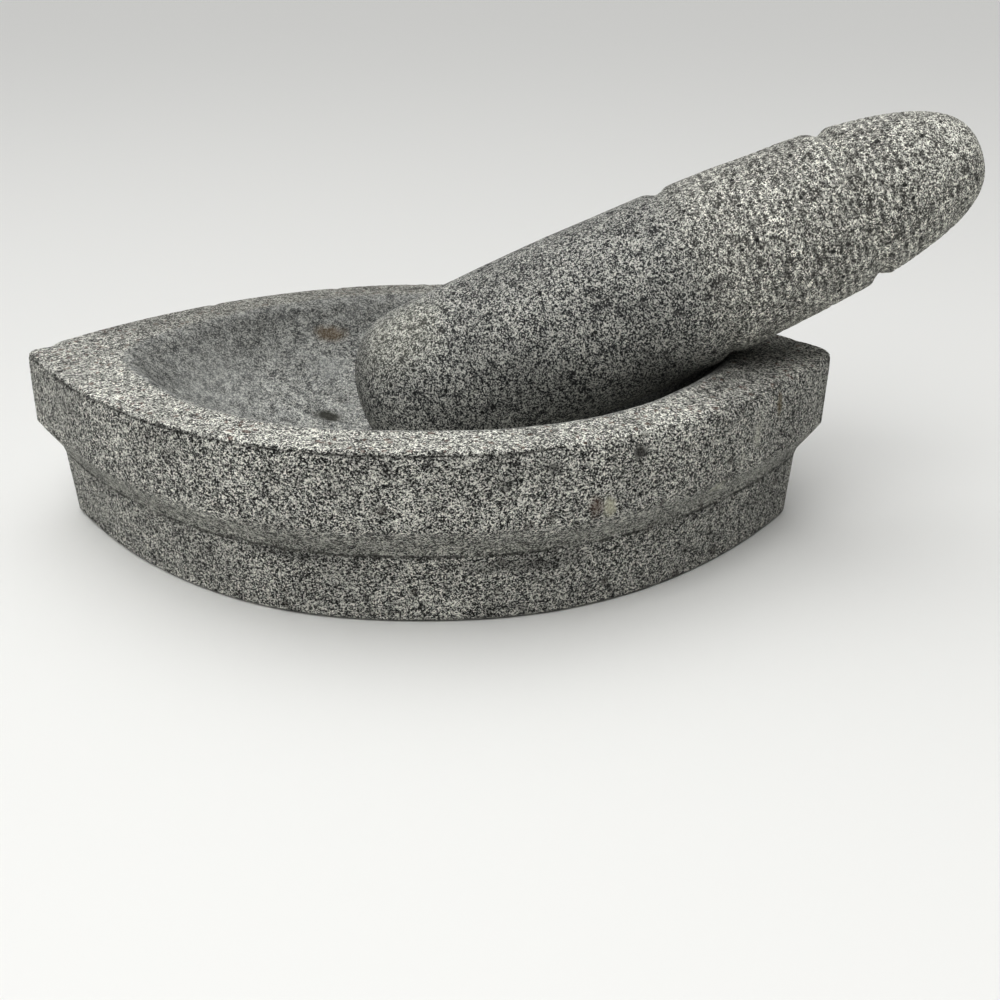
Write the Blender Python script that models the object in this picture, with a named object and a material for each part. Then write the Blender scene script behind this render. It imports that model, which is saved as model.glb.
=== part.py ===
"""Hand-carved granite mortar, eye-shaped in plan on a stepped foot, with its leaning pestle.

The mortar's long side lies along X and its base stands on Z = 0.  Every size is in metres.
"""
import math

import bmesh
import bpy
import numpy as np
from mathutils import Matrix, Vector
from mathutils.bvhtree import BVHTree

# ---- mortar, outside ---------------------------------------------------------------------
LENGTH = 0.255          # from tip to tip
BREADTH = 0.160         # across the middle
HEIGHT = 0.0558         # base to rim
SIDE_BOW = 2.25         # 2 bows the sides like a parabola, more keeps them full for longer
SIDE_FULLNESS = 0.99    # under 1 keeps a little more width close to the tips
NOSE_LEFT = 0.0035       # corner radius where the two sides meet at the -X tip
NOSE_RIGHT = 0.0080      # the same at the +X tip, which is blunter
BAND_BOTTOM = 0.0326    # height where the upright upper band ends
STRIP_TOP = 0.0240      # height where the chamfer under the band reaches the saw-cut strip
FOOT_TOP = 0.0216       # height of the foot below the strip
CHAMFER_IN = 0.0068     # how far the chamfer runs in under the band
STRIP_IN = 0.0008       # how much further in the strip ends, on top of the foot
FOOT_TAPER = 0.0009     # how far the foot draws in from its top to the base
EDGE_BREAK = 0.0010     # small worn bevel along the rim's outer edge and the base edge

# ---- mortar, bowl ------------------------------------------------------------------------
RIM_AT_SIDES = 0.0135   # flat rim beside the middle of the bowl
RIM_AT_TIPS = 0.0312    # flat rim between a bowl end and the tip
BOWL_BOW = 2.60         # the bowl's plan is fuller than the outside
BOWL_NOSE = 0.030       # corner radius of the bowl's two ends
LIP_RADIUS = 0.007      # rounding from the flat rim down into the bowl
LIP_TURN = math.radians(48)   # how far that rounding turns before the bowl wall takes over
FLOOR_THICKNESS = 0.0142      # stone left under the deepest point
BOWL_CURVE = 2.5        # 2 is a parabola, more gives steeper walls and a flatter floor

# ---- pestle ------------------------------------------------------------------------------
PESTLE_LENGTH = 0.200   # from butt to grip end
BUTT_RADIUS = 0.0275    # body radius carried to the butt end, before the rounding
GRIP_RADIUS = 0.0203    # body radius carried to the grip end, before the rounding
SWELL = 0.0045          # extra radius half way along
BUTT_CAP = 0.0220        # length of the rounded butt
BUTT_ROUNDNESS = 2.4    # 2 is an ellipse, more is blunter
GRIP_CAP = 0.0590       # length of the rounded, tapering grip end
GRIP_ROUNDNESS = 3.05
GROOVES = ((0.112, 0.0013), (0.1605, 0.0019))   # distance from the butt, depth
GROOVE_WIDTH = 0.0070
LEAN = math.radians(25.0)     # slope of the pestle's axis

# ---- fit ---------------------------------------------------------------------------------
REST_GAP = 0.0003       # clearance where the pestle rests, at the lip and on the floor
SETTLE_TOLERANCE = 0.000005   # how closely that clearance is met at both places

# ---- mesh fineness -----------------------------------------------------------------------
NOSE_STEPS = 5          # segments round half of a nose
SIDE_STEPS = 23         # segments from a nose to the middle of a side
CURVE_SAMPLES = 1600    # points tried when a nose is fitted between the sides
HALVINGS = 40           # bisection steps
LIP_STEPS = 5
BOWL_STEPS = 13
RING_SEGMENTS = 60      # around the pestle
CAP_STEPS = 10
GRIP_CAP_STEPS = 13
BODY_STEP = 0.011       # spacing of rings along the pestle's body
SHARP_ANGLE = math.radians(28)

STONE_GREY = (0.190, 0.190, 0.186, 1.0)
PESTLE_GREY = (0.215, 0.215, 0.208, 1.0)
STONE_ROUGHNESS = 0.88
PESTLE_ROUGHNESS = 0.80


def clear_scene():
    for item in list(bpy.data.objects):
        bpy.data.objects.remove(item, do_unlink=True)


def half_breadth(share, half_wide, bow):
    """Half breadth of the plan at a share 0..1 of the way from the middle to the corner."""
    return half_wide * (1 - share ** bow) ** SIDE_FULLNESS


def quarter_plan(half_long, half_wide, nose, bow):
    """A quarter of the plan: round the nose from its end, then along the side to the middle."""
    share = np.linspace(0, 1, CURVE_SAMPLES)
    side = half_breadth(share, half_wide, bow)
    centre = half_long - nose
    short = half_long
    long = half_long + half_wide
    for _ in range(HALVINGS):
        corner = (short + long) / 2
        away = np.hypot(share * corner - centre, side)
        if away.min() > nose:
            long = corner
        else:
            short = corner
    touch = int(away.argmin())
    touch_angle = math.atan2(side[touch], share[touch] * corner - centre)
    touch_x = centre + nose * math.cos(touch_angle)
    points = []
    for step in range(NOSE_STEPS + 1):
        angle = touch_angle * step / NOSE_STEPS
        points.append((centre + nose * math.cos(angle), nose * math.sin(angle)))
    for step in range(1, SIDE_STEPS + 1):
        x = touch_x * (1 - step / SIDE_STEPS)
        points.append((x, float(half_breadth(x / corner, half_wide, bow))))
    return points


def plan_ring(half_long, half_wide, nose_left, nose_right, bow, height):
    """The closed eye-shaped outline, anticlockwise from the +X tip, at one height."""
    right = quarter_plan(half_long, half_wide, nose_right, bow)
    left = quarter_plan(half_long, half_wide, nose_left, bow)
    back_right = [(x, y) for x, y in right]
    back_left = [(-x, y) for x, y in reversed(left[:-1])]
    front_left = [(-x, -y) for x, y in left[1:]]
    front_right = [(x, -y) for x, y in reversed(right[1:-1])]
    return [Vector((x, y, height)) for x, y in back_right + back_left + front_left + front_right]


def outside_ring(inset, height):
    return plan_ring(LENGTH / 2 - inset, BREADTH / 2 - inset, NOSE_LEFT, NOSE_RIGHT,
                     SIDE_BOW, height)


def bowl_ring(inset, scale, height):
    return plan_ring((LENGTH / 2 - RIM_AT_TIPS - inset) * scale,
                     (BREADTH / 2 - RIM_AT_SIDES - inset) * scale,
                     (BOWL_NOSE - inset) * scale, (BOWL_NOSE - inset) * scale,
                     BOWL_BOW, height)


def mortar_rings():
    """Rings from the base edge, up the outside, over the rim and down into the bowl."""
    foot_base_in = CHAMFER_IN + STRIP_IN + FOOT_TAPER
    rings = [
        outside_ring(foot_base_in + EDGE_BREAK, 0),
        outside_ring(foot_base_in, EDGE_BREAK),
        outside_ring(CHAMFER_IN + STRIP_IN, FOOT_TOP),
        outside_ring(CHAMFER_IN, STRIP_TOP),
        outside_ring(0, BAND_BOTTOM),
        outside_ring(0, HEIGHT - EDGE_BREAK),
        outside_ring(EDGE_BREAK, HEIGHT),
    ]
    for step in range(LIP_STEPS + 1):
        turn = LIP_TURN * step / LIP_STEPS
        rings.append(bowl_ring(LIP_RADIUS * math.sin(turn), 1,
                               HEIGHT - LIP_RADIUS * (1 - math.cos(turn))))
    lip_in = LIP_RADIUS * math.sin(LIP_TURN)
    lip_bottom = HEIGHT - LIP_RADIUS * (1 - math.cos(LIP_TURN))
    for step in range(1, BOWL_STEPS):
        scale = 1 - step / BOWL_STEPS
        rings.append(bowl_ring(lip_in, scale, FLOOR_THICKNESS
                               + (lip_bottom - FLOOR_THICKNESS) * scale ** BOWL_CURVE))
    return rings


def body_radius(along):
    """Pestle radius at a distance from the butt, before the end rounding and the grooves."""
    share = along / PESTLE_LENGTH
    return BUTT_RADIUS + (GRIP_RADIUS - BUTT_RADIUS) * share + SWELL * 4 * share * (1 - share)


def end_factor(from_end, cap, roundness):
    if from_end >= cap:
        return 1.0
    return (1 - (1 - from_end / cap) ** roundness) ** (1 / roundness)


def pestle_radius(along):
    radius = body_radius(along)
    radius *= end_factor(along, BUTT_CAP, BUTT_ROUNDNESS)
    radius *= end_factor(PESTLE_LENGTH - along, GRIP_CAP, GRIP_ROUNDNESS)
    for centre, depth in GROOVES:
        radius -= depth * max(0.0, 1 - abs(along - centre) / (GROOVE_WIDTH / 2))
    return radius


def pestle_stations():
    """Distances along the pestle that get a ring: close together on the ends and grooves."""
    stations = []
    for step in range(1, CAP_STEPS + 1):
        stations.append(BUTT_CAP * (1 - math.cos(math.pi / 2 * step / CAP_STEPS)))
    for step in range(1, GRIP_CAP_STEPS + 1):
        turn = math.pi / 2 * step / GRIP_CAP_STEPS
        stations.append(PESTLE_LENGTH - GRIP_CAP * (1 - math.cos(turn)))
    straight = PESTLE_LENGTH - BUTT_CAP - GRIP_CAP
    count = round(straight / BODY_STEP)
    for step in range(1, count):
        stations.append(BUTT_CAP + straight * step / count)
    half_groove = GROOVE_WIDTH / 2
    for centre, _ in GROOVES:
        stations = [s for s in stations if abs(s - centre) > half_groove * 1.3]
        stations += [centre - half_groove, centre, centre + half_groove]
    return sorted(stations)


def pestle_rings():
    """Rings along the leaning axis, about the middle of the pestle."""
    lean = Matrix.Rotation(math.pi / 2 - LEAN, 3, 'Y')
    rings = []
    for along in pestle_stations():
        radius = pestle_radius(along)
        ring = []
        for segment in range(RING_SEGMENTS):
            angle = 2 * math.pi * segment / RING_SEGMENTS
            point = Vector((radius * math.cos(angle), radius * math.sin(angle),
                            along - PESTLE_LENGTH / 2))
            ring.append(lean @ point)
        rings.append(ring)
    butt = lean @ Vector((0, 0, -PESTLE_LENGTH / 2))
    grip = lean @ Vector((0, 0, PESTLE_LENGTH / 2))
    return butt, rings, grip


def skin(name, first_point, rings, last_point):
    """Closed mesh through the rings, with a fan to the first point and to the last point."""
    mesh = bmesh.new()
    rows = [[mesh.verts.new(point) for point in ring] for ring in rings]
    first = mesh.verts.new(first_point)
    last = mesh.verts.new(last_point)
    count = len(rows[0])
    for index in range(count):
        after = (index + 1) % count
        mesh.faces.new((first, rows[0][after], rows[0][index]))
        mesh.faces.new((last, rows[-1][index], rows[-1][after]))
        for low, high in zip(rows, rows[1:]):
            mesh.faces.new((low[index], low[after], high[after], high[index]))
    bmesh.ops.triangulate(mesh, faces=[face for face in mesh.faces if len(face.verts) > 3])
    bmesh.ops.recalc_face_normals(mesh, faces=mesh.faces)
    data = bpy.data.meshes.new(name)
    mesh.to_mesh(data)
    mesh.free()
    for polygon in data.polygons:
        polygon.use_smooth = True
    data.set_sharp_from_angle(angle=SHARP_ANGLE)
    piece = bpy.data.objects.new(name, data)
    bpy.context.scene.collection.objects.link(piece)
    return piece


def tree_of(data, shift):
    return BVHTree.FromPolygons([vertex.co + shift for vertex in data.vertices],
                                [tuple(polygon.vertices) for polygon in data.polygons])


def gaps(mortar_data, mortar_tree, pestle_data, place):
    """Smallest gap under the butt half and under the grip half of the pestle at a place."""
    pestle_tree = tree_of(pestle_data, place)
    nearest = {True: PESTLE_LENGTH, False: PESTLE_LENGTH}
    pairs = [(vertex.co + place, mortar_tree) for vertex in pestle_data.vertices]
    pairs += [(vertex.co, pestle_tree) for vertex in mortar_data.vertices]
    for point, tree in pairs:
        spot, normal, _, distance = tree.find_nearest(point)
        if (point - spot).dot(normal) < 0:
            distance = -distance
        butt_half = point.x < place.x
        nearest[butt_half] = min(nearest[butt_half], distance)
    return nearest[True], nearest[False]


def settle(mortar_data, pestle_data):
    """Place the pestle so that the butt clears the floor and the body clears the lip equally.

    The pestle is lowered until the nearer of the two gaps is met, then moved along until the
    other is met as well.
    """
    mortar_tree = tree_of(mortar_data, Vector((0, 0, 0)))
    reach = PESTLE_LENGTH / 2 * math.cos(LEAN)
    place = Vector((reach - BUTT_RADIUS, 0, HEIGHT + BUTT_RADIUS))
    for _ in range(HALVINGS):
        butt_gap, grip_gap = gaps(mortar_data, mortar_tree, pestle_data, place)
        butt_over = butt_gap - REST_GAP
        grip_over = (grip_gap - REST_GAP) / math.cos(LEAN)
        if abs(butt_over) < SETTLE_TOLERANCE and abs(grip_over) < SETTLE_TOLERANCE:
            break
        place.z -= butt_over
        place.x += (grip_over - butt_over) / math.tan(LEAN)
    return place


def give_material(piece, name, colour, roughness):
    material = bpy.data.materials.new(name)
    material.use_nodes = True
    material.diffuse_color = colour
    shader = material.node_tree.nodes["Principled BSDF"]
    shader.inputs["Base Color"].default_value = colour
    shader.inputs["Roughness"].default_value = roughness
    shader.inputs["Metallic"].default_value = 0.0
    piece.data.materials.append(material)


def build():
    clear_scene()
    rings = mortar_rings()
    mortar = skin("mortar", Vector((0, 0, 0)), rings, Vector((0, 0, FLOOR_THICKNESS)))
    give_material(mortar, "carved_granite", STONE_GREY, STONE_ROUGHNESS)

    butt, rings, grip = pestle_rings()
    pestle = skin("pestle", butt, rings, grip)
    pestle.location = settle(mortar.data, pestle.data)
    give_material(pestle, "dressed_granite", PESTLE_GREY, PESTLE_ROUGHNESS)
    print("pestle centre", tuple(round(value, 6) for value in pestle.location))


build()
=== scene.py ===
import math

import bpy
import numpy as np
from mathutils import Matrix, Vector


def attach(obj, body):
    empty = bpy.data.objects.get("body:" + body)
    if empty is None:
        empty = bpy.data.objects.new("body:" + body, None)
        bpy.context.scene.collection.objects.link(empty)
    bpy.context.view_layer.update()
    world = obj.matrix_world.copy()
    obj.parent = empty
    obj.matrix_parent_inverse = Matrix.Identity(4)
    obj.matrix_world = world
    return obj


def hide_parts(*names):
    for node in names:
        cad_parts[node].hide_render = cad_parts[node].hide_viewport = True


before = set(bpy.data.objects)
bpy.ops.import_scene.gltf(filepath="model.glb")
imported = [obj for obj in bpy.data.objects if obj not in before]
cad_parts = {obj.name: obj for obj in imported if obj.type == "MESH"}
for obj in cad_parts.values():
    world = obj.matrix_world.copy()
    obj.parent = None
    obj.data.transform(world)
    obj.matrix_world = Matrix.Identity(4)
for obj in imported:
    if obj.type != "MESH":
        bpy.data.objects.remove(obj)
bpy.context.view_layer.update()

MM = 0.001

# Mortar: the same rules as its solid, in metres.
LENGTH = 0.255          # from tip to tip
BREADTH = 0.160         # across the middle
HEIGHT = 0.0558         # base to rim
SIDE_BOW = 2.25         # 2 bows the sides like a parabola, more keeps them full for longer
SIDE_FULLNESS = 0.99    # under 1 keeps a little more width close to the tips
NOSE_LEFT = 0.0035      # corner radius of the -X tip
NOSE_RIGHT = 0.0080     # corner radius of the +X tip
BAND_BOTTOM = 0.0326    # height where the upright upper band ends
STRIP_TOP = 0.0240      # height where the chamfer reaches the saw-cut strip
FOOT_TOP = 0.0216       # height where the strip reaches the foot
CHAMFER_IN = 0.0068     # the chamfer's lower edge lies in by this much
STRIP_IN = 0.0008       # and the strip's by this much more
FOOT_TAPER = 0.0009     # and the foot's by this much more
EDGE_BREAK = 0.0010     # arrises are broken by this much
RIM_AT_SIDES = 0.0135   # width of the rim at the middle of a side
RIM_AT_TIPS = 0.0312    # width of the rim at a tip
BOWL_BOW = 2.60
BOWL_NOSE = 0.030
LIP_RADIUS = 0.007      # the rim rolls over into the bowl on this radius
LIP_TURN = math.radians(48)
FLOOR_THICKNESS = 0.0142
BOWL_CURVE = 2.5        # how steeply the bowl rises towards its lip

# Pestle: the same rules as its solid.
PESTLE_LENGTH = 0.200
BUTT_RADIUS = 0.0275
GRIP_RADIUS = 0.0203
SWELL = 0.0045          # how far the middle stands out from a straight taper
BUTT_CAP = 0.0220       # length over which the butt rounds off
BUTT_ROUNDNESS = 2.4
GRIP_CAP = 0.0590
GRIP_ROUNDNESS = 3.05
LEAN = math.radians(25.0)
PESTLE_MIDDLE = (0.071284, 0.0, 0.075492)    # where its middle lies when it rests in the bowl

# How finely the stone is meshed.
QUARTER_STEPS = 146     # steps round a quarter of the mortar, from a tip to the middle of a side
CURVE_SAMPLES = 1600
NOSE_SAMPLES = 200
SLOPE_SAMPLES = 2000
HALVINGS = 40
FINE = 0.05 * MM        # step at which a section is drawn before it is rounded
WEAR = 0.28 * MM        # how far wear has rounded the arrises
TIP_LEAN = 1.0 * MM     # the -X tip leans in by this much from the band's lower edge to the rim
ROW = 1.15 * MM         # spacing of the rows up a face
ARRIS_ROW = 0.50 * MM   # extra closeness of the rows at an arris
ARRIS_REACH = 1.6 * MM  # how far from an arris rows are closer and chips reach
UNDERSIDE_RINGS = (0.15, 0.4, 0.65, 0.85)
UNDERSIDE_EDGE = 12 * MM
RIM_EDGE = 6 * MM
RIM_ROWS = 15
LIP_ROWS = 6
BOWL_ROWS = 56

# Marks on the mortar, measured along its section.
RIM_FADE = 1.0 * MM     # the rim's own finish starts over this distance
CREASE_REACH = 1.8 * MM # the creases over and under the strip are kept crisp this far
LINE_BELOW = 1.0 * MM   # a line is scribed this far below the rim's arris
LINE_WIDTH = 0.45 * MM
RUB_REACH = 2.6 * MM    # how far down and in the worn arris is rubbed round
CRISP_RUB = 0.12        # how much of that a crisp arris has
ROUND_LENGTH = 0.33     # metres counted once round the outline, which sets how long the saw's streaks are

STROKE_STRETCH = (1.0, 0.42, 1.0)    # a stroke of the point is this much longer than it is wide
RING_CROWDING = 0.45    # how much closer the pestle's rings lie at its ends, from 0 to 1


def half_breadth(share, half_wide, bow):
    """Half the width of the plan at a share of the way from the middle to the corner."""
    return half_wide * (1 - share ** bow) ** SIDE_FULLNESS


def even_quarter(half_long, half_wide, nose, bow):
    """A quarter of the plan, from the tip round its nose to the middle of the side, in even steps."""
    share = np.linspace(0, 1, CURVE_SAMPLES)
    side = half_breadth(share, half_wide, bow)
    centre = half_long - nose
    short = half_long
    long = half_long + half_wide
    # The sides would meet in a sharp corner. Halving finds the corner whose sides just touch the nose.
    for _ in range(HALVINGS):
        corner = (short + long) / 2
        away = np.hypot(share * corner - centre, side)
        if away.min() > nose:
            long = corner
        else:
            short = corner
    touch = int(away.argmin())
    turn = math.atan2(side[touch], share[touch] * corner - centre)
    angle = np.linspace(0, turn, NOSE_SAMPLES)
    x = np.concatenate([centre + nose * np.cos(angle), (share * corner)[:touch][::-1]])
    y = np.concatenate([nose * np.sin(angle), side[:touch][::-1]])
    walked = np.concatenate([[0], np.cumsum(np.hypot(np.diff(x), np.diff(y)))])
    even = np.linspace(0, walked[-1], QUARTER_STEPS + 1)
    return np.column_stack([np.interp(even, walked, x), np.interp(even, walked, y)])


def plan_ring(half_long, half_wide, nose_left, nose_right, bow, height):
    """A closed ring of points, anticlockwise from the +X tip."""
    right = even_quarter(half_long, half_wide, nose_right, bow)
    left = even_quarter(half_long, half_wide, nose_left, bow)
    plan = np.concatenate([
        right[:-1],
        (left * (-1, 1))[:0:-1],
        (left * (-1, -1))[:-1],
        (right * (1, -1))[:0:-1],
    ])
    return np.column_stack([plan, np.full(len(plan), height)])


def outside_ring(inset, height):
    """A ring of the outside, in by an inset. Above the band's lower edge the -X tip leans in."""
    ring = plan_ring(LENGTH / 2 - inset, BREADTH / 2 - inset, NOSE_LEFT, NOSE_RIGHT, SIDE_BOW, height)
    rise = min(max((height - BAND_BOTTOM) / (HEIGHT - BAND_BOTTOM), 0), 1)
    near_tip = np.clip(-ring[:, 0] / (LENGTH / 2), 0, 1) ** 4
    ring[:, 0] += TIP_LEAN * rise * near_tip
    return ring


def bowl_ring(inset, scale, height):
    """A ring of the bowl: its mouth, in by an inset and scaled towards the middle."""
    nose = (BOWL_NOSE - inset) * scale
    return plan_ring(
        (LENGTH / 2 - RIM_AT_TIPS - inset) * scale,
        (BREADTH / 2 - RIM_AT_SIDES - inset) * scale,
        nose, nose, BOWL_BOW, height,
    )


def worn_section(corners, wear):
    """Straight lines through a section's corners, rounded off as wear rounds an arris."""
    corners = np.array(corners)
    walked = np.concatenate([[0], np.cumsum(np.hypot(*np.diff(corners, axis=0).T))])
    even = np.arange(0, walked[-1], FINE)
    line = np.column_stack([np.interp(even, walked, corners[:, axis]) for axis in (0, 1)])
    reach = int(4 * wear / FINE)
    weight = np.exp(-0.5 * (np.arange(-reach, reach + 1) * FINE / wear) ** 2)
    weight /= weight.sum()
    padded = np.concatenate([np.repeat(line[:1], reach, 0), line, np.repeat(line[-1:], reach, 0)])
    rounded = np.column_stack([np.convolve(padded[:, axis], weight, "valid") for axis in (0, 1)])
    return even, rounded, walked


def close_rows(even, arrises):
    """Places along a section, closer together at its arrises."""
    density = np.full(len(even), 1 / ROW)
    for arris in arrises:
        density += (1 / ARRIS_ROW - 1 / ROW) * np.exp(-((even - arris) / ARRIS_REACH) ** 2)
    count = np.concatenate([[0], np.cumsum((density[1:] + density[:-1]) / 2 * np.diff(even))])
    rows = int(round(count[-1]))
    return np.interp(np.linspace(0, count[-1], rows + 1), count, even)


def mortar_mesh():
    """Rings from the middle of the base, out, up the faces, over the rim and down into the bowl."""
    foot_in = CHAMFER_IN + STRIP_IN
    base_in = foot_in + FOOT_TAPER
    section = [
        (base_in + EDGE_BREAK + UNDERSIDE_EDGE, 0),
        (base_in + EDGE_BREAK, 0),
        (base_in, EDGE_BREAK),
        (foot_in, FOOT_TOP),
        (CHAMFER_IN, STRIP_TOP),
        (0, BAND_BOTTOM),
        (0, HEIGHT - EDGE_BREAK),
        (EDGE_BREAK, HEIGHT),
        (RIM_EDGE, HEIGHT),
    ]
    even, rounded, walked = worn_section(section, WEAR)
    rim_arris = (walked[6] + walked[7]) / 2
    rings = []
    marks = []

    def ring(points, arris=0.0, rim=0.0, worn=0.0, hold=0.0, line=0.0, rubbed=0.0):
        """Adds a ring and its marks. The dressing leaves a ring alone as far as it is held."""
        rings.append(points)
        marks.append((arris, rim, worn, hold, line, rubbed))

    for scale in UNDERSIDE_RINGS:
        ring(outside_ring(base_in + EDGE_BREAK + UNDERSIDE_EDGE, 0) * (scale, scale, 1), hold=1.0)
    for place in close_rows(even, walked[1:-1]):
        inset = np.interp(place, even, rounded[:, 0])
        height = np.interp(place, even, rounded[:, 1])
        nearest = min(abs(place - at) for at in walked[1:-1])
        past_rim = place - rim_arris
        crease = min(abs(place - at) for at in walked[3:5])
        ring(
            outside_ring(inset, height),
            arris=math.exp(-(nearest / ARRIS_REACH) ** 2),
            rim=min(max(past_rim / RIM_FADE, 0), 1),
            hold=1.0 if place < walked[1] else 0.75 * math.exp(-(crease / CREASE_REACH) ** 2),
            line=math.exp(-((past_rim + LINE_BELOW) / LINE_WIDTH) ** 2),
            rubbed=math.exp(-(past_rim / RUB_REACH) ** 2),
        )
    outer = rings[-1]
    inner = bowl_ring(0, 1, HEIGHT)
    for row in range(1, RIM_ROWS):
        share = row / RIM_ROWS
        ring(outer * (1 - share) + inner * share, rim=1.0)
    for row in range(LIP_ROWS):
        turn = LIP_TURN * row / LIP_ROWS
        height = HEIGHT - LIP_RADIUS * (1 - math.cos(turn))
        ring(bowl_ring(LIP_RADIUS * math.sin(turn), 1, height), rim=max(1 - row / 2, 0), worn=min(row / 2, 1))
    lip_in = LIP_RADIUS * math.sin(LIP_TURN)
    lip_bottom = HEIGHT - LIP_RADIUS * (1 - math.cos(LIP_TURN))
    scale = np.linspace(1, 0, SLOPE_SAMPLES)
    depth = FLOOR_THICKNESS + (lip_bottom - FLOOR_THICKNESS) * scale ** BOWL_CURVE
    slope = np.concatenate([[0], np.cumsum(np.hypot(np.diff(scale) * (BREADTH / 2), np.diff(depth)))])
    for row in range(BOWL_ROWS):
        place = slope[-1] * row / BOWL_ROWS
        ring(bowl_ring(lip_in, np.interp(place, slope, scale), np.interp(place, slope, depth)), worn=1.0)

    count = len(rings[0])
    points = np.concatenate([[(0, 0, 0)], *rings, [(0, 0, FLOOR_THICKNESS)]])
    faces = [(0, 1 + (step + 1) % count, 1 + step) for step in range(count)]
    for number in range(len(rings) - 1):
        low = 1 + number * count
        high = low + count
        for step in range(count):
            after = (step + 1) % count
            faces.append((low + step, low + after, high + after, high + step))
    last = 1 + (len(rings) - 1) * count
    top = len(points) - 1
    faces += [(last + step, last + (step + 1) % count, top) for step in range(count)]
    mesh = bpy.data.meshes.new("mortar_stone")
    mesh.from_pydata(points.tolist(), [], faces)

    marks = np.array(marks)
    marks = np.concatenate([marks[:1], np.repeat(marks, count, 0), marks[-1:]])
    arris, rim, worn, hold, line, rubbed = marks.T
    x, y, z = points.T
    # On the right of the front the arris is worn round, fully from 52 mm right of the middle. On its left it is
    # crisp, with the scribed line under it. At the back it is crisp too.
    front_right = np.clip((x - 22 * MM) / (30 * MM), 0, 1) * (y < 0)
    line = line * (1 - front_right) * (y < 0)
    rubbed = rubbed * (CRISP_RUB + (1 - CRISP_RUB) * front_right)
    # Where the dressing cuts less, and by how much less.
    for share, there in (
        (0.8, np.exp(-((x - 92 * MM) ** 2 + y ** 2) / (14 * MM) ** 2) * (z > 40 * MM)),    # under the pestle
        (0.8, np.clip((x - 112 * MM) / (10 * MM), 0, 1)),                                  # the +X tip
        (1.0, np.clip(1.6 - z / (1.0 * MM), 0, 1)),                                        # what it stands on
        (0.65, np.clip(y / (20 * MM), 0, 1) * np.clip(z / (5 * MM) - 9, 0, 1)),            # the back's top 10 mm
    ):
        hold = np.maximum(hold, share * there)
    # How far round a point is from the +X tip, the same on both sides.
    step_round = np.concatenate([[0], np.tile(np.arange(count), len(rings)), [0]])
    around = np.minimum(step_round, count - step_round) * (ROUND_LENGTH / count)
    for name, values in (
        ("arris", arris), ("rim", rim), ("worn", worn), ("hold", hold), ("line", line),
        ("rubbed", rubbed), ("around", around),
    ):
        attribute = mesh.attributes.new(name, "FLOAT", "POINT")
        attribute.data.foreach_set("value", values.astype(np.float32))
    return mesh


def linear(colour):
    """An sRGB hex colour as linear RGBA."""
    parts = [int(colour[at:at + 2], 16) / 255 for at in (1, 3, 5)]
    return (*[p / 12.92 if p <= 0.04045 else ((p + 0.055) / 1.055) ** 2.4 for p in parts], 1.0)


def add(tree, kind, inputs=(), out=0, stops=(), **settings):
    """Adds one node with its settings, and links or sets its sockets, by name or number or in their order.

    Colours are sRGB hex, and so are those of a ramp's stops. It gives back the output asked for, or the
    node itself where out is None.
    """
    node = tree.nodes.new(kind)
    for name, value in settings.items():
        setattr(node, name, value)
    for name, value in inputs.items() if isinstance(inputs, dict) else enumerate(inputs):
        if isinstance(value, bpy.types.NodeSocket):
            tree.links.new(value, node.inputs[name])
        elif value is not None:
            is_colour = isinstance(value, str) and value.startswith("#")
            node.inputs[name].default_value = linear(value) if is_colour else value
    for number, (position, colour) in enumerate(stops):
        elements = node.color_ramp.elements
        element = elements[number] if number < 2 else elements.new(position)
        element.position, element.color = position, linear(colour)
    return node if out is None else node.outputs[out]


def new_geometry_tree(name, inputs):
    """An empty Geometry Nodes tree with named inputs (name, socket type, value), its inputs and its result."""
    tree = bpy.data.node_groups.new(name, "GeometryNodeTree")
    tree.interface.new_socket("Geometry", in_out="OUTPUT", socket_type="NodeSocketGeometry")
    for label, kind, value in inputs:
        socket = tree.interface.new_socket(label, in_out="INPUT", socket_type=kind)
        if value is not None:
            socket.default_value = value
    return tree, add(tree, "NodeGroupInput", out=None).outputs, add(tree, "NodeGroupOutput", out=None).inputs


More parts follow.
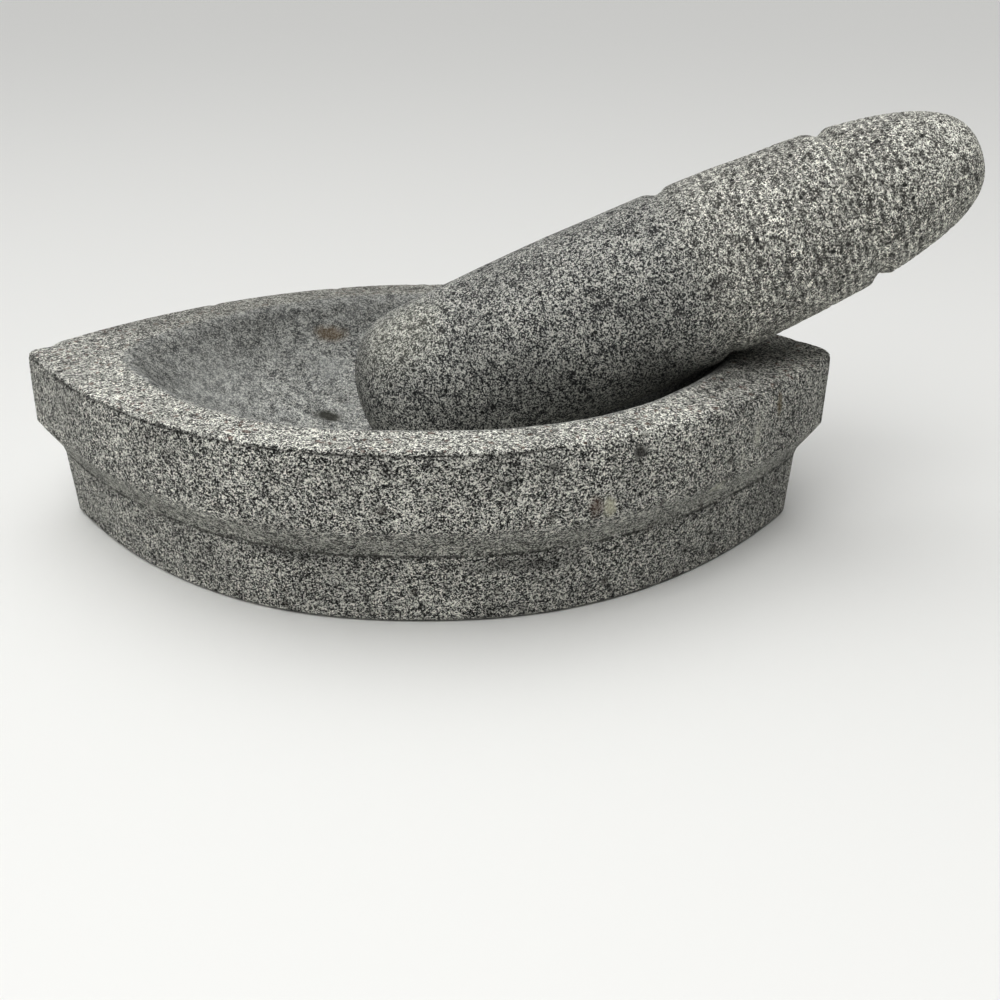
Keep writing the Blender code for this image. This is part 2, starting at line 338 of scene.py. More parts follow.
def dressing_tree():
    """Hand dressing: long waves, mason's point strokes and chipped arrises, all cut inwards."""
    tree, given, result = new_geometry_tree("stone_dressing", [
        ("Geometry", "NodeSocketGeometry", None),
        ("Wave Size", "NodeSocketFloat", 40 * MM),
        ("Wave Depth", "NodeSocketFloat", 0.5 * MM),
        ("Stroke Size", "NodeSocketFloat", 3.5 * MM),
        ("Stroke Depth", "NodeSocketFloat", 0.3 * MM),
        ("Stroke Angle", "NodeSocketFloat", math.radians(50)),
        ("Chip Size", "NodeSocketFloat", 5 * MM),
        ("Chip Depth", "NodeSocketFloat", 1.0 * MM),
        ("Rub Depth", "NodeSocketFloat", 1.3 * MM),
        ("Line Break", "NodeSocketFloat", 7 * MM),
        ("Line Depth", "NodeSocketFloat", 0.5 * MM),
        ("Comb Depth", "NodeSocketFloat", 0.4 * MM),
        ("Seed", "NodeSocketFloat", 1.0),
    ])
    place = add(tree, "GeometryNodeInputPosition")
    normal = add(tree, "GeometryNodeInputNormal")
    marks = {
        name: add(tree, "GeometryNodeInputNamedAttribute", {"Name": name}, "Attribute", data_type="FLOAT")
        for name in ("arris", "worn", "hold", "line", "rubbed", "comb")
    }
    # Waves, chips and the broken line come in patches: a size, and the levels where a patch starts and is full.
    patches = {}
    for name, size, detail, start, full in (
        ("wave", given["Wave Size"], 2.0, 0.3, 0.7),
        ("chip", given["Chip Size"], 1.5, 0.52, 0.72),
        ("line", given["Line Break"], 2.0, 0.40, 0.50),
    ):
        scale = add(tree, "ShaderNodeMath", (1.0, size), operation="DIVIDE")
        level = add(tree, "ShaderNodeTexNoise", {
            "Vector": place, "W": given["Seed"], "Scale": scale, "Detail": detail,
        }, noise_dimensions="4D")
        patches[name] = add(tree, "ShaderNodeMapRange", (level, start, full), interpolation_type="SMOOTHSTEP")
    chip = add(tree, "ShaderNodeMath", (patches["chip"], marks["arris"]), operation="MULTIPLY")
    line = add(tree, "ShaderNodeMath", (patches["line"], marks["line"]), operation="MULTIPLY")
    # A stroke of the point leaves one long pit, in four cells out of five. Where the stone is worn, three
    # quarters of its depth have been rubbed away.
    turned = add(tree, "ShaderNodeVectorRotate", {"Vector": place, "Angle": given["Stroke Angle"]},
                 rotation_type="Z_AXIS")
    drawn = add(tree, "ShaderNodeVectorMath", (turned, STROKE_STRETCH), operation="MULTIPLY")
    scale = add(tree, "ShaderNodeMath", (1.0, given["Stroke Size"]), operation="DIVIDE")
    cells = add(tree, "ShaderNodeTexVoronoi", {"Vector": drawn, "W": given["Seed"], "Scale": scale}, None,
                voronoi_dimensions="4D")
    chance = add(tree, "ShaderNodeSeparateXYZ", (cells.outputs["Color"],))
    # It is deepest at the middle of its cell and gone at 0.55 of the way across.
    pit = add(tree, "ShaderNodeMapRange", (cells.outputs["Distance"], 0.55, 0.0),
              interpolation_type="SMOOTHSTEP")
    for share in (
        add(tree, "ShaderNodeMapRange", (chance, 0.2, 0.9), interpolation_type="SMOOTHSTEP"),
        add(tree, "ShaderNodeMath", (marks["worn"], -0.75, 1.0), operation="MULTIPLY_ADD"),
    ):
        pit = add(tree, "ShaderNodeMath", (pit, share), operation="MULTIPLY")
    depth = add(tree, "ShaderNodeMath", (patches["wave"], given["Wave Depth"]), operation="MULTIPLY")
    for amount, label in (
        (pit, "Stroke Depth"), (chip, "Chip Depth"), (line, "Line Depth"), (marks["rubbed"], "Rub Depth"),
        (marks["comb"], "Comb Depth"),
    ):
        depth = add(tree, "ShaderNodeMath", (amount, given[label], depth), operation="MULTIPLY_ADD")
    inwards = add(tree, "ShaderNodeMath", (marks["hold"], 1.0), operation="SUBTRACT")
    depth = add(tree, "ShaderNodeMath", (depth, inwards), operation="MULTIPLY")
    cut = add(tree, "ShaderNodeVectorMath", {0: normal, "Scale": depth}, operation="SCALE")
    # The hollows of the strokes, the comb rows and the scribed line are stored for the stones to paint shade in.
    shaded_hollow = add(tree, "ShaderNodeMath", (pit, marks["comb"]), operation="ADD")
    shaded_hollow = add(tree, "ShaderNodeMath", (shaded_hollow, line), operation="ADD")
    shaded_hollow = add(tree, "ShaderNodeMath", (shaded_hollow, 1.0), operation="MINIMUM")
    marked = add(tree, "GeometryNodeStoreNamedAttribute", {
        "Geometry": given["Geometry"], "Name": "shaded_hollow", "Value": shaded_hollow,
    }, data_type="FLOAT", domain="POINT")
    moved = add(tree, "GeometryNodeSetPosition", {"Geometry": marked, "Offset": cut})
    tree.links.new(moved, result[0])
    return tree


def finished(tree, given, dressing, values, result):
    """The last steps on either piece: its surface dressed, shaded smooth, made real and given its stone."""
    dressed = add(tree, "GeometryNodeGroup", values, node_tree=dressing)
    smooth = add(tree, "GeometryNodeSetShadeSmooth", {"Geometry": dressed})
    real = add(tree, "GeometryNodeRealizeInstances", {"Geometry": smooth})
    painted = add(tree, "GeometryNodeSetMaterial", {"Geometry": real, "Material": given["Stone"]})
    tree.links.new(painted, result[0])


def pestle_tree(dressing):
    """A turned stone: a cylinder whose rings take their radius from the rule of the pestle's outline."""
    tree, given, result = new_geometry_tree("pestle_turning", [
        ("Length", "NodeSocketFloat", PESTLE_LENGTH),
        ("Butt Radius", "NodeSocketFloat", BUTT_RADIUS),
        ("Grip Radius", "NodeSocketFloat", GRIP_RADIUS),
        ("Swell", "NodeSocketFloat", SWELL),
        ("Butt Cap", "NodeSocketFloat", BUTT_CAP),
        ("Butt Roundness", "NodeSocketFloat", BUTT_ROUNDNESS),
        ("Grip Cap", "NodeSocketFloat", GRIP_CAP),
        ("Grip Roundness", "NodeSocketFloat", GRIP_ROUNDNESS),
        ("First Groove", "NodeSocketFloat", 0.112),
        ("First Groove Depth", "NodeSocketFloat", 1.3 * MM),
        ("Second Groove", "NodeSocketFloat", 0.1605),
        ("Second Groove Depth", "NodeSocketFloat", 1.9 * MM),
        ("Groove Width", "NodeSocketFloat", 7.0 * MM),
        ("Groove Slant", "NodeSocketFloat", -0.05),
        ("Groove Wander", "NodeSocketFloat", 3.0 * MM),
        ("Comb Spacing", "NodeSocketFloat", 2.3 * MM),
        ("Rings", "NodeSocketInt", 380),
        ("Segments", "NodeSocketInt", 210),
        ("Seed", "NodeSocketFloat", 7.0),
        ("Stone", "NodeSocketMaterial", None),
    ])
    rod = add(tree, "GeometryNodeMeshCylinder", {
        "Vertices": given["Segments"], "Side Segments": given["Rings"], "Fill Segments": 1,
        "Radius": 1.0, "Depth": 1.0,
    }, "Mesh", fill_type="TRIANGLE_FAN")
    start = add(tree, "GeometryNodeInputPosition")
    across, up, height = add(tree, "ShaderNodeSeparateXYZ", (start,), None).outputs
    share = add(tree, "ShaderNodeMath", (height, 0.5), operation="ADD")
    # Rings crowd together at both ends, where the outline turns fastest.
    wave = add(tree, "ShaderNodeMath", (share, 2 * math.pi), operation="MULTIPLY")
    wave = add(tree, "ShaderNodeMath", (wave,), operation="SINE")
    wave = add(tree, "ShaderNodeMath", (wave, RING_CROWDING / (2 * math.pi)), operation="MULTIPLY")
    share = add(tree, "ShaderNodeMath", (share, wave), operation="SUBTRACT")
    along = add(tree, "ShaderNodeMath", (share, given["Length"]), operation="MULTIPLY")
    # The body tapers from the butt to the grip and swells in between.
    taper = add(tree, "ShaderNodeMath", (given["Grip Radius"], given["Butt Radius"]), operation="SUBTRACT")
    body = add(tree, "ShaderNodeMath", (taper, share, given["Butt Radius"]), operation="MULTIPLY_ADD")
    rest = add(tree, "ShaderNodeMath", (1.0, share), operation="SUBTRACT")
    bulge = add(tree, "ShaderNodeMath", (share, rest), operation="MULTIPLY")
    bulge = add(tree, "ShaderNodeMath", (bulge, 4.0), operation="MULTIPLY")
    body = add(tree, "ShaderNodeMath", (bulge, given["Swell"], body), operation="MULTIPLY_ADD")
    # Each end is rounded as a superellipse is.
    from_grip = add(tree, "ShaderNodeMath", (given["Length"], along), operation="SUBTRACT")
    for away, end in ((along, "Butt"), (from_grip, "Grip")):
        roundness = given[end + " Roundness"]
        left = add(tree, "ShaderNodeMath", (away, given[end + " Cap"]), operation="DIVIDE")
        left = add(tree, "ShaderNodeMath", (left, 1.0), operation="MINIMUM")
        left = add(tree, "ShaderNodeMath", (1.0, left), operation="SUBTRACT")
        gone = add(tree, "ShaderNodeMath", (left, roundness), operation="POWER")
        full = add(tree, "ShaderNodeMath", (1.0, gone), operation="SUBTRACT")
        full = add(tree, "ShaderNodeMath", (full, 0.0), operation="MAXIMUM")
        root = add(tree, "ShaderNodeMath", (1.0, roundness), operation="DIVIDE")
        full = add(tree, "ShaderNodeMath", (full, root), operation="POWER")
        body = add(tree, "ShaderNodeMath", (body, full), operation="MULTIPLY")
    # The grooves lean a little and wander, as grooves cut by hand do.
    wander = add(tree, "ShaderNodeTexNoise", {
        "Vector": start, "W": given["Seed"], "Scale": 2.3, "Detail": 3.0,
    }, noise_dimensions="4D")
    wander = add(tree, "ShaderNodeMath", (wander, 0.5), operation="SUBTRACT")
    side = add(tree, "ShaderNodeMath", (across, body), operation="MULTIPLY")
    slanted = add(tree, "ShaderNodeMath", (side, given["Groove Slant"], along), operation="MULTIPLY_ADD")
    slanted = add(tree, "ShaderNodeMath", (wander, given["Groove Wander"], slanted), operation="MULTIPLY_ADD")
    reach = add(tree, "ShaderNodeMath", (given["Groove Width"], 0.6), operation="MULTIPLY")
    for label in ("First Groove", "Second Groove"):
        away = add(tree, "ShaderNodeMath", (slanted, given[label]), operation="SUBTRACT")
        away = add(tree, "ShaderNodeMath", (away,), operation="ABSOLUTE")
        near = add(tree, "ShaderNodeMapRange", (away, reach, 0.0), interpolation_type="SMOOTHSTEP")
        near = add(tree, "ShaderNodeMath", (near, given[label + " Depth"]), operation="MULTIPLY")
        body = add(tree, "ShaderNodeMath", (body, near), operation="SUBTRACT")
    turned = add(tree, "ShaderNodeCombineXYZ", (
        add(tree, "ShaderNodeMath", (across, body), operation="MULTIPLY"),
        add(tree, "ShaderNodeMath", (up, body), operation="MULTIPLY"),
        add(tree, "ShaderNodeMath", (given["Length"], -0.5, along), operation="MULTIPLY_ADD"),
    ))
    shaped = add(tree, "GeometryNodeSetPosition", {"Geometry": rod, "Position": turned})
    kept = add(tree, "GeometryNodeMergeByDistance", {"Geometry": shaped, "Distance": 0.002 * MM})
    at = add(tree, "GeometryNodeInputPosition")
    kept = add(tree, "GeometryNodeStoreNamedAttribute", {"Geometry": kept, "Name": "turned", "Value": at},
               data_type="FLOAT_VECTOR", domain="POINT")
    # The butt's half is ground smooth. Rows of comb marks go round the rest, and fade out towards its end.
    level = add(tree, "ShaderNodeSeparateXYZ", (at,), 2)
    worn = add(tree, "ShaderNodeMapRange", (level, 21 * MM, 5 * MM))
    combed = add(tree, "ShaderNodeMath", (1.0, worn), operation="SUBTRACT")
    near_end = add(tree, "ShaderNodeMapRange", (level, 74 * MM, 92 * MM, 1.0, 0.25))
    wobble = add(tree, "ShaderNodeTexNoise", {
        "Vector": at, "W": given["Seed"], "Scale": 1 / (9 * MM), "Detail": 2.0,
    }, noise_dimensions="4D")
    wobble = add(tree, "ShaderNodeMath", (wobble, 3.6), operation="MULTIPLY")
    turns = add(tree, "ShaderNodeMath", (2 * math.pi, given["Comb Spacing"]), operation="DIVIDE")
    row = add(tree, "ShaderNodeMath", (level, turns, wobble), operation="MULTIPLY_ADD")
    row = add(tree, "ShaderNodeMath", (row,), operation="SINE")
    comb = add(tree, "ShaderNodeMath", (row, 0.5, 0.5), operation="MULTIPLY_ADD")
    dots = add(tree, "ShaderNodeTexNoise", {
        "Vector": at, "W": given["Seed"], "Scale": 1 / (1.5 * MM), "Detail": 1.0,
    }, noise_dimensions="4D")
    dots = add(tree, "ShaderNodeMapRange", (dots, 0.40, 0.53))
    for part in (dots, combed, near_end):
        comb = add(tree, "ShaderNodeMath", (comb, part), operation="MULTIPLY")
    for name, value in (("worn", worn), ("comb", comb)):
        kept = add(tree, "GeometryNodeStoreNamedAttribute", {"Geometry": kept, "Name": name, "Value": value},
                   data_type="FLOAT", domain="POINT")
    finished(tree, given, dressing, {
        "Geometry": kept, "Wave Size": 24 * MM, "Wave Depth": 0.24 * MM, "Stroke Size": 3.2 * MM,
        "Stroke Depth": 0.24 * MM, "Comb Depth": 0.26 * MM, "Chip Size": 6 * MM, "Chip Depth": 0.0,
        "Seed": given["Seed"],
    }, result)
    return tree


def mortar_tree(dressing):
    """The mason's finish on the mortar's plain shape."""
    tree, given, result = new_geometry_tree("mortar_finish", [
        ("Geometry", "NodeSocketGeometry", None),
        ("Wave Size", "NodeSocketFloat", 38 * MM),
        ("Wave Depth", "NodeSocketFloat", 0.35 * MM),
        ("Stroke Size", "NodeSocketFloat", 3.4 * MM),
        ("Stroke Depth", "NodeSocketFloat", 0.32 * MM),
        ("Chip Size", "NodeSocketFloat", 5.5 * MM),
        ("Chip Depth", "NodeSocketFloat", 1.2 * MM),
        ("Seed", "NodeSocketFloat", 3.0),
        ("Stone", "NodeSocketMaterial", None),
    ])
    finished(tree, given, dressing, {
        name: given[name] for name in (
            "Geometry", "Wave Size", "Wave Depth", "Stroke Size", "Stroke Depth", "Chip Size", "Chip Depth", "Seed",
        )
    }, result)
    return tree


def made_by_nodes(name, mesh, tree, values):
    """The result of a Geometry Nodes tree as an ordinary mesh object."""
    start = bpy.data.objects.new(name + "_start", mesh)
    bpy.context.scene.collection.objects.link(start)
    modifier = start.modifiers.new("shape", "NODES")
    modifier.node_group = tree
    sockets = {item.name: item.identifier for item in tree.interface.items_tree if item.in_out == "INPUT"}
    for label, value in values.items():
        modifier[sockets[label]] = value
    evaluated = start.evaluated_get(bpy.context.evaluated_depsgraph_get())
    final = bpy.data.meshes.new_from_object(evaluated)
    piece = bpy.data.objects.new(name, final)
    bpy.context.scene.collection.objects.link(piece)
    bpy.data.objects.remove(start)
    return piece


def new_material(name, roughness):
    """An empty material with its shader. 1.54 is the IOR of quartz and feldspar, and near that of paper."""
    material = bpy.data.materials.new(name)
    material.use_nodes = True
    tree = material.node_tree
    tree.nodes.clear()
    shader = add(tree, "ShaderNodeBsdfPrincipled", {"IOR": 1.54, "Roughness": roughness}, None)
    add(tree, "ShaderNodeOutputMaterial", {"Surface": shader.outputs[0]}, None)
    return material, tree, shader


def coated(tree, stone, coats):
    """Colours laid over the stone one after another: each one's colour, its strength and the masks it keeps to."""
    for colour, strength, *masks in coats:
        for mask in masks:
            strength = add(tree, "ShaderNodeMath", (mask, strength), operation="MULTIPLY")
        stone = add(tree, "ShaderNodeMix", {0: strength, 6: stone, 7: colour}, 2, data_type="RGBA")
    return stone


def brightened(tree, stone, mask, amount):
    """The stone made lighter in its own colours where the mask is."""
    lift = add(tree, "ShaderNodeMath", (mask, amount, 1.0), operation="MULTIPLY_ADD")
    return add(tree, "ShaderNodeMix", {0: 1.0, 6: stone, 7: lift}, 2, data_type="RGBA", blend_type="MULTIPLY")


def shaken(tree, place, size, reach):
    """Coordinates pushed about by up to reach, so that no edge is straight."""
    push = add(tree, "ShaderNodeTexNoise", {"Vector": place, "Scale": 1 / size, "Detail": 2.0}, 1)
    push = add(tree, "ShaderNodeVectorMath", (push, (0.5, 0.5, 0.5)), operation="SUBTRACT")
    push = add(tree, "ShaderNodeVectorMath", {0: push, "Scale": 2 * reach}, operation="SCALE")
    return add(tree, "ShaderNodeVectorMath", (place, push), operation="ADD")


def grains(tree, place, size):
    """Mineral grains: the distance from a grain's middle, and a level that each grain has by chance."""
    cells = add(tree, "ShaderNodeTexVoronoi", {"Vector": place, "Scale": 1 / size}, None).outputs
    return cells["Distance"], add(tree, "ShaderNodeSeparateColor", (cells["Color"],))


FELDSPAR = 0.95 * MM        # grain widths
QUARTZ = 0.42 * MM
SPECK = 0.40 * MM           # single crystals of black mica and white feldspar
POWDER = 0.27 * MM          # crushed grain of about 0.1 mm, too fine to show, drawn as coarse as it needs to show
PATCH = 2.6 * MM            # where one mineral outweighs the others
CLOT_SPACING = 3.6 * MM     # between clots of mica
CLOUD = 20 * MM             # the light and dark of a whole block


def granite(tree, place, mica_share, lightness):
    """Salt and pepper: pale feldspar, grey quartz and black mica in hard-edged grains, with clots of mica."""
    bent = shaken(tree, place, 1.6 * MM, 0.5 * MM)
    _, feldspar = grains(tree, bent, FELDSPAR)
    _, quartz = grains(tree, bent, QUARTZ)
    _, powder = grains(tree, place, POWDER)
    _, speck = grains(tree, place, SPECK)
    spread, clot = grains(tree, shaken(tree, place, 1.8 * MM, 1.2 * MM), CLOT_SPACING)
    patch = add(tree, "ShaderNodeTexNoise", {"Vector": place, "Scale": 1 / PATCH, "Detail": 2.0})
    mixed = 0.0
    for level, share in ((quartz, 0.30), (powder, 0.34), (feldspar, 0.12), (patch, 0.24)):
        mixed = add(tree, "ShaderNodeMath", (level, share, mixed), operation="MULTIPLY_ADD")
    stone = add(tree, "ShaderNodeValToRGB", (mixed,), stops=(
        (0.33, "#050505"), (0.413, "#474846"), (0.475, "#8c8d88"), (0.55, "#c1c2bb"), (0.67, "#f6f5ed"),
    ))
    is_clot = add(tree, "ShaderNodeMapRange", (clot, 1 - mica_share, 1.04 - mica_share))
    clot_core = add(tree, "ShaderNodeMapRange", (spread, 0.55, 0.25))
    clot_grain = add(tree, "ShaderNodeMapRange", (quartz, 1.10, 0.70))
    black = add(tree, "ShaderNodeMapRange", (speck, 0.17, 0.14))
    white = add(tree, "ShaderNodeMapRange", (speck, 0.86, 0.89))
    stone = coated(tree, stone, (
        ("#1d1d1c", 0.85, is_clot, clot_core, clot_grain),
        ("#050505", 0.88, black),
        ("#fffdf6", 0.60, white),
    ))
    cloud = add(tree, "ShaderNodeTexNoise", {"Vector": place, "Scale": 1 / CLOUD, "Detail": 3.0})
    cloud = add(tree, "ShaderNodeMapRange", (cloud, 0.3, 0.7, 0.86 * lightness, 1.14 * lightness))
    return add(tree, "ShaderNodeMix", {0: 1.0, 6: stone, 7: cloud}, 2, data_type="RGBA", blend_type="MULTIPLY")


def spot(tree, place, at, radii, turn=0):
    """How far a point lies in a soft-edged spot, from 0 to 1. The spot's place and radii are in millimetres."""
    local = add(tree, "ShaderNodeMapping", {
        "Vector": place, "Location": [length * MM for length in at], "Rotation": (0, 0, math.radians(turn)),
        "Scale": [radius * MM for radius in radii],
    }, vector_type="TEXTURE")
    away = add(tree, "ShaderNodeVectorMath", (local,), "Value", operation="LENGTH")
    return add(tree, "ShaderNodeMapRange", (away, 1.15, 0.45))


def broken_skin(tree, place, worn, pit_size, smoothing):
    """Relief too small for the mesh: crystals and shallow pits, lower where the stone is worn."""
    crystals = add(tree, "ShaderNodeTexNoise", {"Vector": place, "Scale": 1 / (0.6 * MM), "Detail": 2.0})
    pits = add(tree, "ShaderNodeTexNoise", {"Vector": place, "Scale": 1 / pit_size, "Detail": 2.0})
    relief = add(tree, "ShaderNodeMath", (pits, 0.75), operation="MULTIPLY")
    relief = add(tree, "ShaderNodeMath", (crystals, 0.32, relief), operation="MULTIPLY_ADD")
    strength = add(tree, "ShaderNodeMath", (worn, -smoothing, 1.0), operation="MULTIPLY_ADD")
    return add(tree, "ShaderNodeBump", {"Strength": strength, "Distance": 1.0 * MM, "Height": relief})


def mortar_stone():
    """Granite, dressed with a point, sawn along the strip and rubbed in the bowl."""
    # The point bruises the crystals, which look pale and quite matt, with black mica between them. The freshly
    # dressed rim is the palest, and painted light makes its front and left paler still. In the bowl, rubbing has
    # cut the
    # crystals flat: duller, softly mottled, with less relief. The saw left fine dark streaks along the strip.
    material, tree, shader = new_material("point_dressed_granite", 0.8)
    place = add(tree, "ShaderNodeTexCoord", out="Object")
    worn, rim, shaded_hollow, around, line = (
        add(tree, "ShaderNodeAttribute", out="Fac", attribute_name=name)
        for name in ("worn", "rim", "shaded_hollow", "around", "line")
    )
    along, back, height = add(tree, "ShaderNodeSeparateXYZ", (place,), None).outputs
    inside = add(tree, "ShaderNodeMath", (worn, rim), operation="MAXIMUM")
    outside = add(tree, "ShaderNodeMath", (1.0, inside), operation="SUBTRACT")
    stone = granite(tree, place, 0.07, 0.90)

    # Fresher dressing and painted light: the rim is made paler along the front and the left, less so at the +X tip.
    fresh_and_lit = rim
    for part in (
        add(tree, "ShaderNodeMapRange", (back, 25 * MM, -25 * MM)),
        add(tree, "ShaderNodeMapRange", (along, 95 * MM, 45 * MM, 0.30, 1.0)),
    ):
        fresh_and_lit = add(tree, "ShaderNodeMath", (fresh_and_lit, part), operation="MULTIPLY")
    stone = coated(tree, stone, (("#dedcd4", 0.06, fresh_and_lit),))
    stone = brightened(tree, stone, fresh_and_lit, 0.22)

    # Masks and colours: the mottle of the rubbed bowl, rust specks, painted shade high in the bowl and at its back,
    # painted shade on the back of the rim, in the crease under the strip, in the scribed line and on the foot.
    mottle = add(tree, "ShaderNodeTexNoise", {"Vector": place, "Scale": 1 / (3.0 * MM), "Detail": 3.0})
    rubbed = add(tree, "ShaderNodeValToRGB", (mottle,), stops=((0.34, "#5f6264"), (0.66, "#d0d2d0")))
    _, rust = grains(tree, place, 1.1 * MM)
    is_rust = add(tree, "ShaderNodeMapRange", (rust, 0.955, 0.965))
    # Painted shade high on the bowl's wall, strongest at its back.
    shade_high_in_bowl = add(tree, "ShaderNodeMapRange", (height, 36 * MM, 52 * MM))
    shade_at_bowl_back = add(tree, "ShaderNodeMapRange", (back, -10 * MM, 30 * MM, 0.15, 1.0))
    # Painted shade on the back of the rim.
    shade_at_rim_back = add(tree, "ShaderNodeMapRange", (back, 10 * MM, 45 * MM))
    broken = add(tree, "ShaderNodeTexNoise", {"Vector": place, "Scale": 1 / (5.0 * MM), "Detail": 2.0})
    broken = add(tree, "ShaderNodeMapRange", (broken, 0.40, 0.56, 0.15, 0.8))
    # Painted shade: a dark line along the crease under the strip, broken in patches.
    crease = add(tree, "ShaderNodeMath", (height, FOOT_TOP - 0.3 * MM), operation="SUBTRACT")
    crease = add(tree, "ShaderNodeMath", (crease,), operation="ABSOLUTE")
    crease = add(tree, "ShaderNodeMapRange", (crease, 0.9 * MM, 0.2 * MM))
    # Painted shade: the foot is made a little darker.
    foot = add(tree, "ShaderNodeMapRange", (height, 25 * MM, 20 * MM))
    # Saw streaks run round the mortar, far longer than they are high.
    stretched = add(tree, "ShaderNodeMath", (around, 0.12), operation="MULTIPLY")
    stretched = add(tree, "ShaderNodeCombineXYZ", (stretched, 0.0, height))
    streaks = add(tree, "ShaderNodeTexNoise", {"Vector": stretched, "Scale": 1 / (0.60 * MM), "Detail": 3.0})
    streaks = add(tree, "ShaderNodeMapRange", (streaks, 0.40, 0.60, 0.15, 1.8))
    streaks = add(tree, "ShaderNodeMix", {0: 1.0, 6: "#868780", 7: streaks}, 2, data_type="RGBA",
                  blend_type="MULTIPLY")
    over_crease = add(tree, "ShaderNodeMapRange", (height, 20.8 * MM, 22.0 * MM))
    under_band = add(tree, "ShaderNodeMapRange", (height, 32.0 * MM, 24.5 * MM))
    spread, lump = grains(tree, shaken(tree, place, 2.2 * MM, 1.3 * MM), 7.5 * MM)
    is_lump = add(tree, "ShaderNodeMapRange", (lump, 0.66, 0.70))
    lump_core = add(tree, "ShaderNodeMapRange", (spread, 0.26, 0.10))
    stone = coated(tree, stone, (
        (rubbed, 0.40, worn),
        ("#6b4c3e", 0.55, is_rust, rim),
        # Painted shade high in the bowl and at its back.
        ("#34342f", 0.30, shade_high_in_bowl, worn, shade_at_bowl_back),
        # Painted shade on the back of the rim.
        ("#83827b", 0.34, shade_at_rim_back, rim),
        # Painted shade in the crease under the strip.
        ("#262622", 1.0, crease, outside, broken),
        # The scribed line, painted near black: painted shade in its groove.
        ("#191917", 1.0, line, broken),
        # Painted shade on the foot.
        ("#3c3d38", 0.06, foot, outside),
        (streaks, 0.30, over_crease, under_band, outside),
        # Painted shade in the hollows.
        ("#1a1a19", 0.42, shaded_hollow),
        ("#332e29", 0.62, is_lump, lump_core, outside),
    ))

    # Stains, pale patches, dark clots, a crack and painted light and shade: place and radii in mm, a turn in
    # degrees, colour and strength.
    loose = shaken(tree, place, 3.0 * MM, 1.4 * MM)
    stone = coated(tree, stone, [
        (colour, strength, spot(tree, loose, at, radii, turn))
        for at, radii, turn, colour, strength in (
            ((-38.5, 50, 45.5), (7.5, 4, 3.2), 0, "#6f5b3f", 0.60),
            ((-37, 23.5, 24), (7.5, 2.8, 2.6), 8, "#35352d", 0.90),
            ((-38, 40, 36), (7, 6, 6), 0, "#b3b5b3", 0.28),
            ((-33, 31, 29), (3.6, 3, 3), 0, "#3d3d3a", 0.45),
            # A painted pool of light on the bowl's wall at the -X end.
            ((-72, 12, 40), (20, 24, 14), 0, "#c9cac7", 0.20),
            ((105, -30, 49.5), (1.6, 1.6, 4.5), 0, "#6d5f3f", 0.60),
            ((47, -71, 36.5), (2.6, 2.6, 3.6), 0, "#5a4436", 0.70),
            ((51, -70, 35.5), (2.0, 3.0, 3.4), 0, "#cfcdb9", 0.65),
            ((59, -66, 50), (3.2, 3, 2.6), 0, "#30302e", 0.60),
            ((23, -78, 46), (2.6, 3, 2.4), 0, "#30302e", 0.55),
            ((36, -75, 49), (2.4, 3, 2.4), 0, "#30302e", 0.55),
            ((97, -37, 43), (2.2, 3, 5), 0, "#cfcfc3", 0.45),
            ((91, -41, 37), (2.4, 3, 4), 0, "#cfcfc3", 0.45),
            ((84, -46, 31), (3.5, 3, 3), 0, "#c6c6b6", 0.45),
            ((82, -36, 55.8), (0.5, 5.5, 3), 26, "#2b2a28", 0.75),
            # Painted shade along the front of the foot, just under the crease.
            ((28, -72, 17.5), (24, 14, 3.0), 0, "#20201e", 0.42),
            ((-40, -68, 19.5), (18, 14, 1.8), 0, "#20201e", 0.35),
        )
    ])
    tree.links.new(stone, shader.inputs["Base Color"])
    tree.links.new(broken_skin(tree, place, worn, 1.9 * MM, 0.65), shader.inputs["Normal"])
    return material


def pestle_stone():
    """Granite, turned and then ground by use on the butt, combed with a toothed chisel on the grip."""
    # Grinding closes the butt's surface, so it looks darker and blue-grey. The comb leaves rows of broken crystals,
    # so the grip looks lighter, warmer and rougher, with painted shade in the hollows between the rows.
    material, tree, shader = new_material("turned_granite", 0.8)
    place = add(tree, "ShaderNodeAttribute", out="Vector", attribute_name="turned")
    worn, shaded_hollow = (
        add(tree, "ShaderNodeAttribute", out="Fac", attribute_name=name) for name in ("worn", "shaded_hollow")
    )
    combed = add(tree, "ShaderNodeMath", (1.0, worn), operation="SUBTRACT")
    stone = granite(tree, place, 0.22, 1.0)
    stone = coated(tree, stone, (("#45494c", 0.28, worn), ("#e9e6da", 0.10, combed)))
    stone = brightened(tree, stone, combed, 0.14)
    # Near-black spots at small pits: painted shade of pits that the mesh doesn't cut.
    spread, pit = grains(tree, shaken(tree, place, 2.0 * MM, 0.8 * MM), 4.5 * MM)
    is_shaded_pit = add(tree, "ShaderNodeMapRange", (pit, 0.42, 0.50))
    pit_core = add(tree, "ShaderNodeMapRange", (spread, 0.17, 0.11))
    cream = spot(tree, shaken(tree, place, 6 * MM, 3 * MM), (-24, -13, -76), (14, 16, 16))
    stone = coated(tree, stone, (
        # Painted shade in the hollows.
        ("#141312", 0.68, shaded_hollow),
        # Painted shade in the pits.
        ("#0d0d0c", 0.9, is_shaded_pit, pit_core),
        ("#c9c8b4", 0.12, cream),
    ))
    tree.links.new(stone, shader.inputs["Base Color"])
    tree.links.new(broken_skin(tree, place, worn, 1.8 * MM, 0.25), shader.inputs["Normal"])
    return material


dressing = dressing_tree()
mortar_granite = mortar_stone()
pestle_granite = pestle_stone()

mortar = made_by_nodes("mortar_carved", mortar_mesh(), mortar_tree(dressing), {"Stone": mortar_granite})
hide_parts("mortar")
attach(mortar, "mortar")

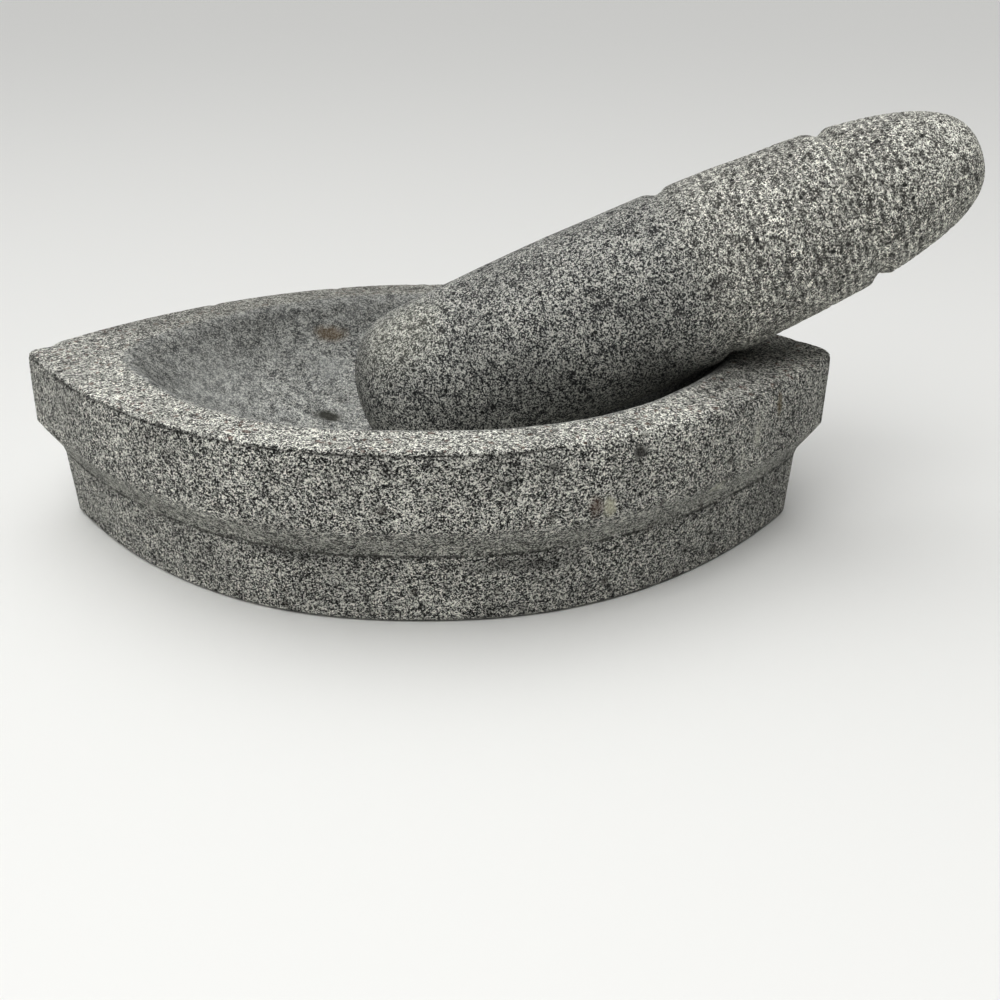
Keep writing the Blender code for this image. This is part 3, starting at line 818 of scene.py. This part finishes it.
blank = bpy.data.meshes.new("pestle_start")
pestle = made_by_nodes("pestle_carved", blank, pestle_tree(dressing), {"Stone": pestle_granite})
pestle.data.transform(Matrix.Translation(PESTLE_MIDDLE) @ Matrix.Rotation(math.pi / 2 - LEAN, 4, "Y"))
pestle.data.update()
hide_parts("pestle")
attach(pestle, "pestle")


# The studio, in metres, watts and radians.
CONTRAST = 0.76                       # view gamma
SOFT_CEILING = (-0.14, 0.10, 0.98)    # where most of the soft light comes from
CEILING_SPREAD = 4.0
CEILING_LIGHT = 2.22
ROOM_LIGHT = 0.10
FLOOR_REACH = 9.0
FLOOR_DROP = 0.0002                   # just under the mortar's base
SOFTBOX_PLACE = (-0.28, -0.80, 1.10)
SOFTBOX_AIM = (0, 0, 0.03)
SOFTBOX_SIZE = 1.1
SOFTBOX_POWER = 7.8
CAMERA_PLACE = (0.0179715, -0.3339296, 0.1677931)
CAMERA_TURN = (-0.0141, 0.4582, 0.0058)    # yaw, pitch and roll
LENS = 39.665                         # mm, on a 36 mm sensor


def studio():
    """A pale sweep of floor, soft light from above and the left, and the camera."""
    scene = bpy.context.scene
    scene.view_settings.view_transform = "Standard"
    scene.view_settings.gamma = CONTRAST
    world = bpy.data.worlds.new("studio_air")
    world.use_nodes = True
    tree = world.node_tree
    around = add(tree, "ShaderNodeTexCoord", out="Generated")
    toward = Vector(SOFT_CEILING).normalized()
    lobe = add(tree, "ShaderNodeVectorMath", (around, toward), "Value", operation="DOT_PRODUCT")
    lobe = add(tree, "ShaderNodeMath", (lobe, 0.0), operation="MAXIMUM")
    lobe = add(tree, "ShaderNodeMath", (lobe, CEILING_SPREAD), operation="POWER")
    light = add(tree, "ShaderNodeMath", (lobe, CEILING_LIGHT, ROOM_LIGHT), operation="MULTIPLY_ADD")
    background = tree.nodes["Background"]
    background.inputs["Color"].default_value = linear("#fdfdfd")
    tree.links.new(light, background.inputs["Strength"])
    scene.world = world

    # White paper, quite matt: an even pale ground that takes soft shadows and has no gloss.
    mesh = bpy.data.meshes.new("floor")
    corners = [(-1, -1), (1, -1), (1, 1), (-1, 1)]
    mesh.from_pydata([(x * FLOOR_REACH, y * FLOOR_REACH, -FLOOR_DROP) for x, y in corners], [], [(0, 1, 2, 3)])
    floor = bpy.data.objects.new("floor", mesh)
    scene.collection.objects.link(floor)
    material, _, shader = new_material("matt_white_paper", 0.9)
    shader.inputs["Base Color"].default_value = linear("#ebebe9")
    floor.data.materials.append(material)

    light = bpy.data.lights.new("front_softbox", "AREA")
    light.shape = "DISK"
    light.size = SOFTBOX_SIZE
    light.energy = SOFTBOX_POWER
    lamp = bpy.data.objects.new("front_softbox", light)
    scene.collection.objects.link(lamp)
    lamp.location = SOFTBOX_PLACE
    lamp.rotation_euler = (Vector(SOFTBOX_AIM) - Vector(SOFTBOX_PLACE)).to_track_quat("-Z", "Y").to_euler()

    camera = bpy.data.cameras.new("camera")
    camera.sensor_width = 36.0
    camera.lens = LENS
    camera.clip_end = 50.0
    viewer = bpy.data.objects.new("camera", camera)
    scene.collection.objects.link(viewer)
    yaw, pitch, roll = CAMERA_TURN
    ahead = Vector((-math.sin(yaw) * math.cos(pitch), math.cos(yaw) * math.cos(pitch), -math.sin(pitch)))
    right = Vector((math.cos(yaw), math.sin(yaw), 0))
    up = right.cross(ahead)
    turned_right = math.cos(roll) * right + math.sin(roll) * up
    turned_up = -math.sin(roll) * right + math.cos(roll) * up
    axes = Matrix((turned_right, turned_up, -ahead)).transposed().to_4x4()
    viewer.matrix_world = Matrix.Translation(CAMERA_PLACE) @ axes
    scene.camera = viewer


studio()
